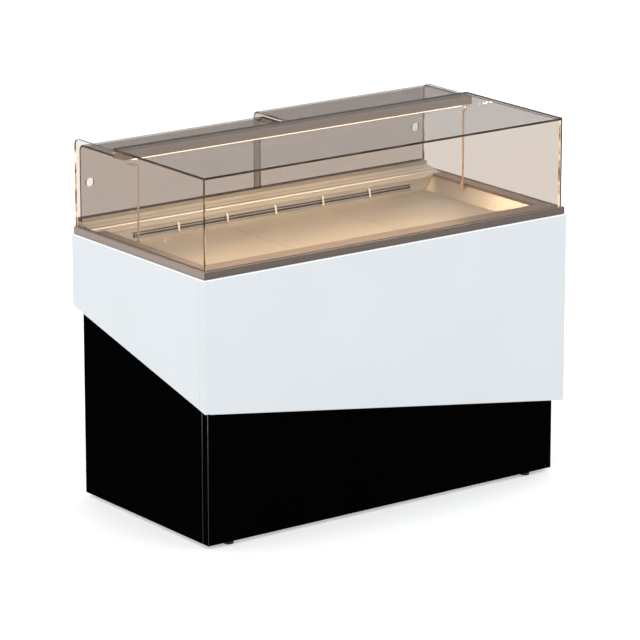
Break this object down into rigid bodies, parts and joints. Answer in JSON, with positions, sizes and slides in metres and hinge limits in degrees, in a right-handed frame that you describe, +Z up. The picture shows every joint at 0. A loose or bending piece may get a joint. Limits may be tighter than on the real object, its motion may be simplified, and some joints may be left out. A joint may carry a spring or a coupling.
{
  "type": "refrigerated display counter",
  "caption": "Refrigerated serve-over display counter: slanted two-tone body, shallow lit well, tinted glass canopy and bent-glass rear sliding doors.",
  "frame": {"origin": "on the floor under the middle of the counter's plan", "axes": "+Z up, +X along the counter to the customer's right as they face it, -Y the customer's side, +Y the server's side"},
  "size_m": [1.44, 0.74, 1.2],
  "materials": {
    "white_lacquer": "satin",
    "black_lacquer": "satin",
    "taupe_lacquer": "satin",
    "brushed_steel": "brushed",
    "galvanised_steel": "matt",
    "anodised_aluminium": "anodised",
    "tinted_glass": "polished",
    "led_diffuser": "frosted",
    "insulation_foam": "matt",
    "black_plastic": "moulded",
    "grey_plastic": "moulded",
    "black_rubber": "matt",
    "copper_pipe": "drawn"
  },
  "bodies": {
    "cabinet": {"chassis_frame": "galvanised_steel", "levelling_foot_front_left": "black_rubber", "levelling_foot_front_right": "black_rubber", "levelling_foot_rear_left": "black_rubber", "levelling_foot_rear_right": "black_rubber", "base_front_panel": "black_lacquer", "base_left_panel": "black_lacquer", "base_right_panel": "black_lacquer", "base_rear_panel": "black_lacquer", "grille_hinge": "brushed_steel", "upper_front_panel": "white_lacquer", "upper_left_panel": "white_lacquer", "upper_right_panel": "white_lacquer", "upper_rear_panel": "white_lacquer", "insulation_tub": "insulation_foam", "insulation_left": "insulation_foam", "insulation_right": "insulation_foam", "tank_liner": "brushed_steel", "rim_frame": "taupe_lacquer", "rear_ledge": "brushed_steel", "lower_door_track": "anodised_aluminium", "front_glass": "tinted_glass", "left_glass": "tinted_glass", "right_glass": "tinted_glass", "top_glass": "tinted_glass", "light_bar": "taupe_lacquer", "led_diffuser": "led_diffuser", "upper_door_track": "anodised_aluminium", "left_post": "brushed_steel", "right_post": "brushed_steel", "air_duct_panel": "brushed_steel", "air_outlet_grille": "anodised_aluminium", "evaporator_coil": "anodised_aluminium", "evaporator_fan_plate": "brushed_steel", "evaporator_fan_motor_left": "black_plastic", "evaporator_fan_motor_right": "black_plastic", "compressor": "black_lacquer", "condenser_coil": "anodised_aluminium", "condenser_shroud": "galvanised_steel", "condenser_fan_motor": "black_plastic", "suction_pipe": "copper_pipe", "discharge_pipe": "copper_pipe", "liquid_pipe": "copper_pipe", "drain_pipe": "grey_plastic", "condensate_tray": "grey_plastic", "control_panel": "grey_plastic", "mains_inlet": "black_plastic"},
    "rear_grille": {"rear_grille": "black_lacquer"},
    "left_door": {"left_door": "tinted_glass"},
    "right_door": {"right_door": "tinted_glass"},
    "deck_tray_left": {"deck_tray_left": "brushed_steel"},
    "deck_tray_middle": {"deck_tray_middle": "brushed_steel"},
    "deck_tray_right": {"deck_tray_right": "brushed_steel"},
    "evaporator_fan_rotor_left": {"evaporator_fan_rotor_left": "black_plastic"},
    "evaporator_fan_rotor_right": {"evaporator_fan_rotor_right": "black_plastic"},
    "condenser_fan_rotor": {"condenser_fan_rotor": "black_plastic"},
    "light_switch": {"light_switch": "black_plastic"},
    "main_switch": {"main_switch": "black_plastic"},
    "up_button": {"up_button": "black_plastic"},
    "down_button": {"down_button": "black_plastic"}
  },
  "joints": [
    {"name": "left_door_slide", "type": "slide", "parent": "cabinet", "child": "left_door", "axis": [1, 0, 0], "range_m": [0, 0.69]},
    {"name": "right_door_slide", "type": "slide", "parent": "cabinet", "child": "right_door", "axis": [-1, 0, 0], "range_m": [0, 0.69]},
    {"name": "deck_tray_left_lift", "type": "slide", "parent": "cabinet", "child": "deck_tray_left", "axis": [0, 0, 1], "range_m": [0, 0.15]},
    {"name": "deck_tray_middle_lift", "type": "slide", "parent": "cabinet", "child": "deck_tray_middle", "axis": [0, 0, 1], "range_m": [0, 0.15]},
    {"name": "deck_tray_right_lift", "type": "slide", "parent": "cabinet", "child": "deck_tray_right", "axis": [0, 0, 1], "range_m": [0, 0.15]},
    {"name": "evaporator_fan_left_spin", "type": "hinge", "parent": "cabinet", "child": "evaporator_fan_rotor_left", "pos_m": [-0.24, 0.095, 0.725], "axis": [0, 1, 0], "continuous": true},
    {"name": "evaporator_fan_right_spin", "type": "hinge", "parent": "cabinet", "child": "evaporator_fan_rotor_right", "pos_m": [0.12, 0.095, 0.725], "axis": [0, 1, 0], "continuous": true},
    {"name": "condenser_fan_spin", "type": "hinge", "parent": "cabinet", "child": "condenser_fan_rotor", "pos_m": [0.28, 0.205, 0.23], "axis": [0, 1, 0], "continuous": true},
    {"name": "rear_grille_hinge", "type": "hinge", "parent": "cabinet", "child": "rear_grille", "pos_m": [0.6835, 0.3545, 0.3355], "axis": [0, 0, -1], "range_deg": [0, 100]},
    {"name": "light_switch_rock", "type": "hinge", "parent": "cabinet", "child": "light_switch", "pos_m": [0.335, 0.364, 0.815], "axis": [-1, 0, 0], "range_deg": [0, 18]},
    {"name": "main_switch_rock", "type": "hinge", "parent": "cabinet", "child": "main_switch", "pos_m": [0.365, 0.364, 0.815], "axis": [-1, 0, 0], "range_deg": [0, 18]},
    {"name": "up_button_press", "type": "slide", "parent": "cabinet", "child": "up_button", "axis": [0, -1, 0], "range_m": [0, 0.0015], "stiffness_N_per_m": 400},
    {"name": "down_button_press", "type": "slide", "parent": "cabinet", "child": "down_button", "axis": [0, -1, 0], "range_m": [0, 0.0015], "stiffness_N_per_m": 400}
  ]
}
